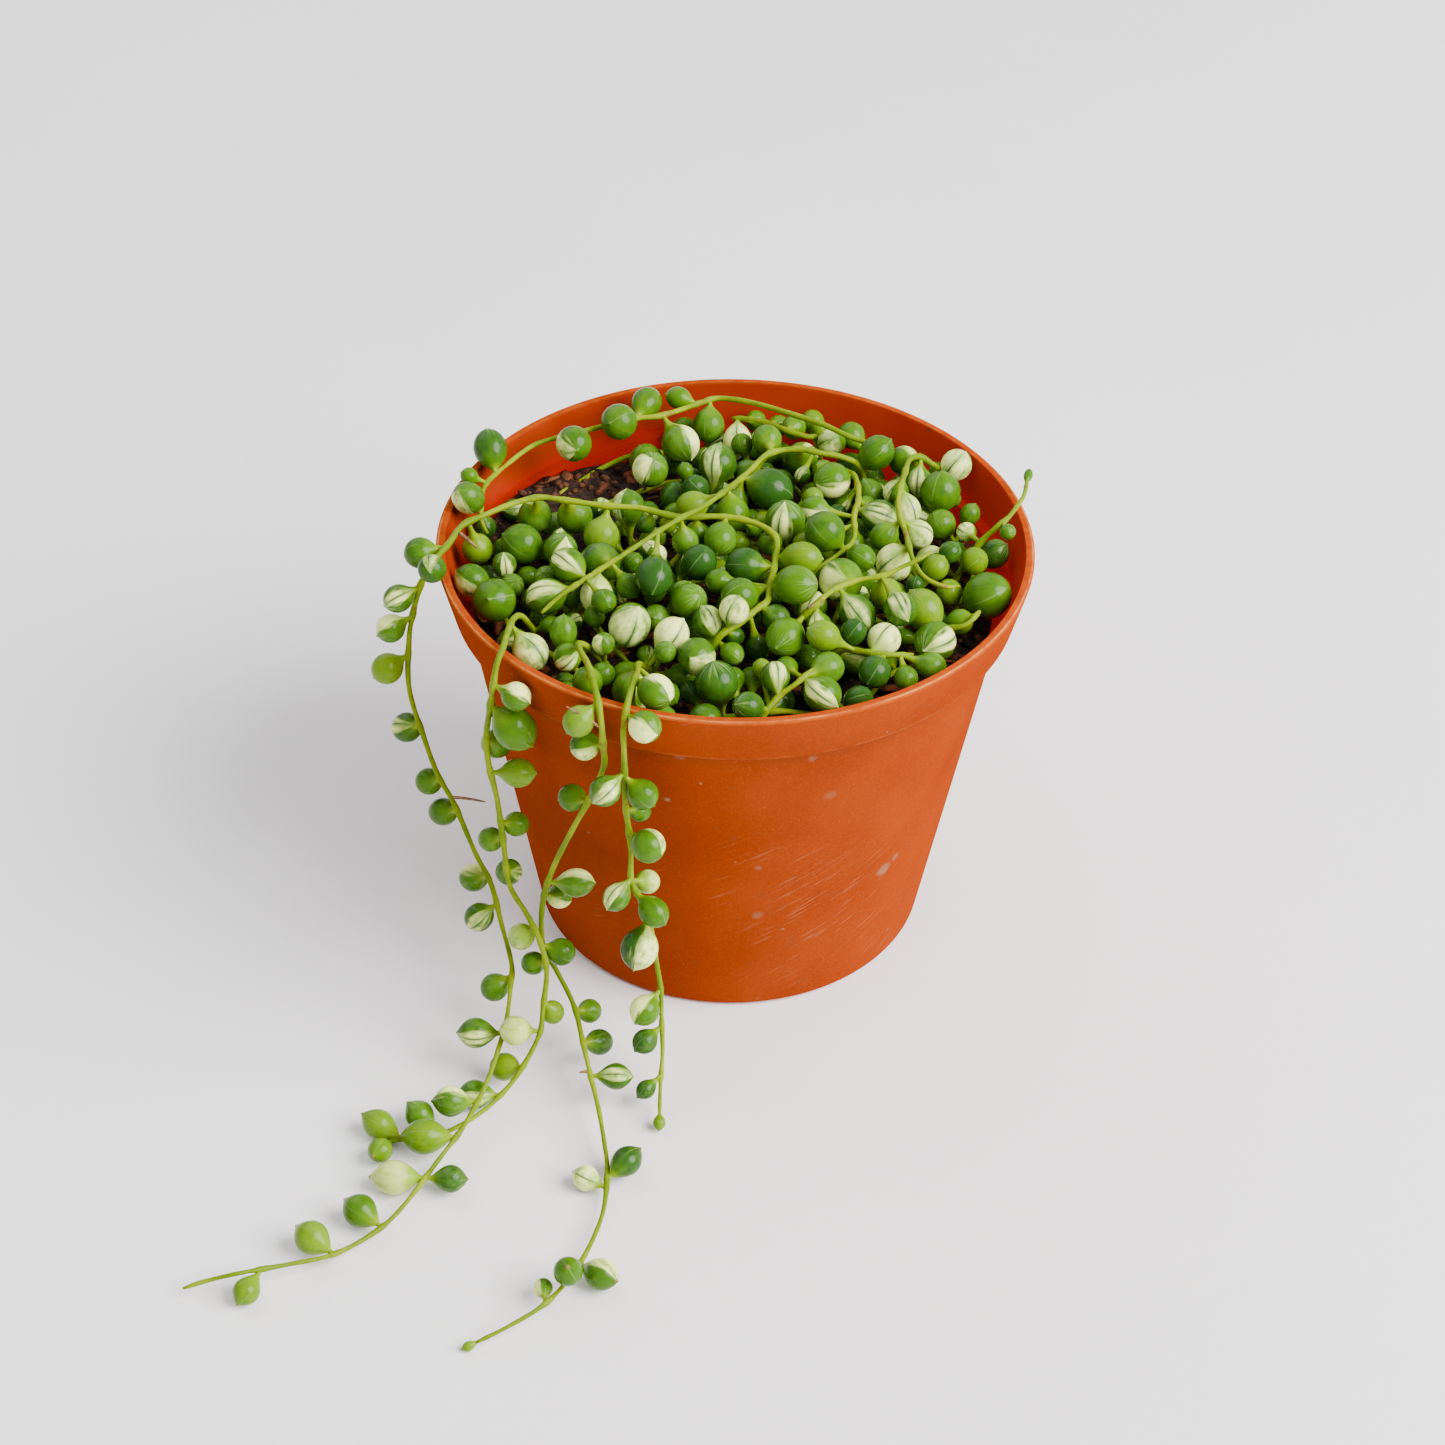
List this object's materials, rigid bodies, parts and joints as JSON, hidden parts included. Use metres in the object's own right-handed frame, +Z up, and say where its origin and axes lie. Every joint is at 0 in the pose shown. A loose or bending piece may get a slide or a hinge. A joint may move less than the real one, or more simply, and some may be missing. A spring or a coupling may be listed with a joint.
{
  "type": "potted variegated string of pearls",
  "caption": "Trailing succulent with round variegated leaves on thin stems, matted over soil in a plain moulded nursery pot and hanging over its rim.",
  "frame": {"origin": "middle of the pot's foot, on the surface that the pot stands on", "axes": "+Z up along the pot's axis; the hanging stems reach towards -Y and -X"},
  "size_m": [0.1607, 0.1931, 0.0983],
  "materials": {
    "pot_plastic": "satin moulded plastic with scuffs",
    "potting_mix": "damp crumbly soil with bark",
    "living_plant": "waxy variegated leaf skin"
  },
  "bodies": {
    "root": {"across_middle": "living_plant", "back_arch": "living_plant", "back_over_mat": "living_plant", "back_short": "living_plant", "front_middle": "living_plant", "front_right": "living_plant", "front_strand": "living_plant", "left_strand": "living_plant", "long_left_strand": "living_plant", "long_over_mat": "living_plant", "low_stem_1": "living_plant", "low_stem_10": "living_plant", "low_stem_11": "living_plant", "low_stem_12": "living_plant", "low_stem_2": "living_plant", "low_stem_3": "living_plant", "low_stem_4": "living_plant", "low_stem_5": "living_plant", "low_stem_6": "living_plant", "low_stem_7": "living_plant", "low_stem_8": "living_plant", "low_stem_9": "living_plant", "middle_strand": "living_plant", "pot": "pot_plastic", "right_middle": "living_plant", "right_over_mat": "living_plant", "right_sprig": "living_plant", "soil": "potting_mix"}
  },
  "joints": []
}
